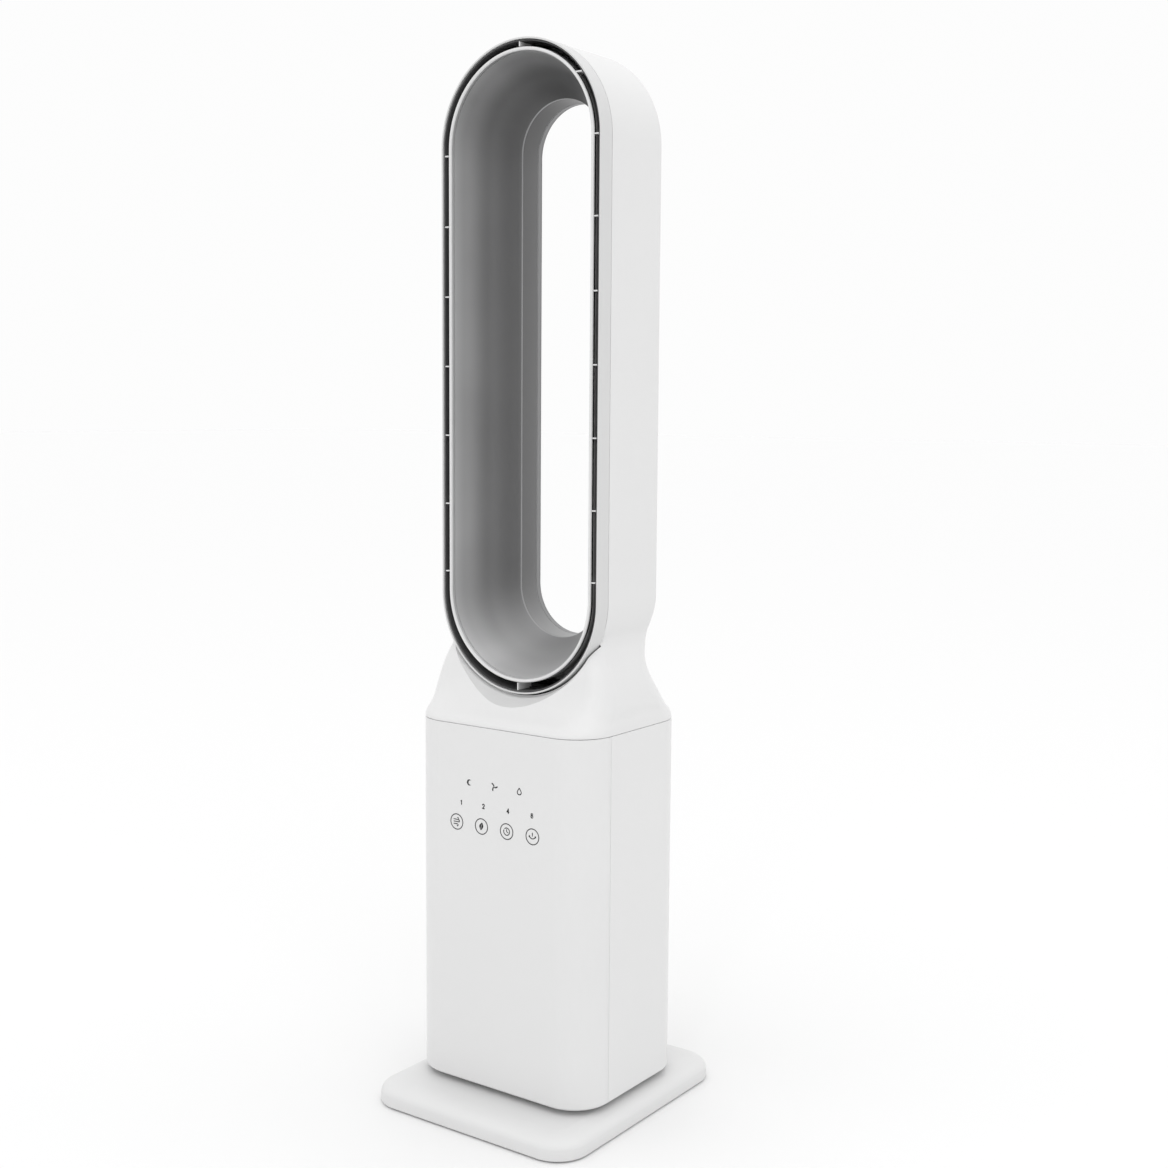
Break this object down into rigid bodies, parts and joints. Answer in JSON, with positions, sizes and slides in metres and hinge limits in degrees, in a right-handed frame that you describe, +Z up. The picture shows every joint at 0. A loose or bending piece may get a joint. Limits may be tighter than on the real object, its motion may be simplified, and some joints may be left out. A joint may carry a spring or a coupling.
{
  "type": "bladeless tower fan",
  "caption": "Bladeless tower fan: a boxy blower body on a swivelling base carries a tall stadium-shaped air loop with a slot outlet and a flared through-opening.",
  "frame": {"origin": "on the floor plane under the feet, on the swivel axis, which is the middle of the base plate", "axes": "+Z up along the swivel axis, front face and touch keys towards -Y, +X to the right seen from the back"},
  "size_m": [0.2288, 0.251, 0.96],
  "materials": {
    "shell_white": "smooth white moulded plastic, soft gloss",
    "white_satin": "satin white plastic",
    "grey_plastic": "matt grey moulded plastic",
    "black_plastic": "matt black plastic",
    "rubber": "matt black rubber",
    "steel": "zinc-plated steel",
    "motor_metal": "plain drawn metal can",
    "circuit_board": "green solder mask",
    "light_guide": "milky clear plastic",
    "filter_foam": "open-cell grey foam",
    "silver_grey": "satin silver-grey painted plastic"
  },
  "bodies": {
    "base": {"base_plate": "shell_white", "base_ballast": "steel", "base_cover": "black_plastic", "foot_front_left": "rubber", "foot_front_right": "rubber", "foot_rear_left": "rubber", "foot_rear_right": "rubber", "base_screw_1": "steel", "base_screw_2": "steel", "base_screw_3": "steel", "base_screw_4": "steel", "base_spindle": "steel", "swivel_bearing": "grey_plastic", "thrust_washer": "white_satin", "sun_gear": "white_satin", "spindle_screw": "steel"},
    "tower": {"bottom_tray": "shell_white", "front_cover": "shell_white", "rear_cover": "shell_white", "rear_screw_1": "steel", "rear_screw_2": "steel", "rear_screw_3": "steel", "rear_screw_4": "steel", "cord_bushing": "rubber", "loop_shell": "shell_white", "front_ring": "shell_white", "slot_rib_ring": "white_satin", "slot_liner": "black_plastic", "lip_ring": "shell_white", "inner_duct": "silver_grey", "rear_ring": "silver_grey", "chassis_deck": "grey_plastic", "blower_deck": "grey_plastic", "blower_housing": "grey_plastic", "inlet_bell": "black_plastic", "diffuser": "grey_plastic", "motor_stator": "motor_metal", "riser_duct": "grey_plastic", "swing_motor": "motor_metal", "motor_post_1": "steel", "motor_post_2": "steel", "main_board": "circuit_board", "touch_board": "circuit_board", "touch_spring_1": "steel", "touch_spring_2": "steel", "touch_spring_3": "steel", "touch_spring_4": "steel", "indicator_guide": "light_guide", "ir_receiver": "black_plastic"},
    "impeller": {"impeller": "white_satin", "motor_shaft": "steel"},
    "swing_pinion": {"swing_pinion": "white_satin"},
    "rear_grille": {"rear_grille": "shell_white", "air_filter": "filter_foam"}
  },
  "joints": [
    {"name": "swing", "type": "hinge", "parent": "base", "child": "tower", "pos_m": [0, 0, 0.03], "axis": [0, 0, 1], "range_deg": [-40, 40]},
    {"name": "impeller_spin", "type": "hinge", "parent": "tower", "child": "impeller", "pos_m": [0, 0, 0.15], "axis": [0, 0, 1], "continuous": true},
    {"name": "pinion_spin", "type": "hinge", "parent": "tower", "child": "swing_pinion", "pos_m": [0.05615, 0, 0.035], "axis": [0, 0, 1], "range_deg": [-101, 101]},
    {"name": "grille_pull", "type": "slide", "parent": "tower", "child": "rear_grille", "axis": [0, 1, 0], "range_m": [0, 0.03]}
  ],
  "couplings": [
    {"joint": "pinion_spin", "follows": "swing", "ratio": 2.5}
  ]
}
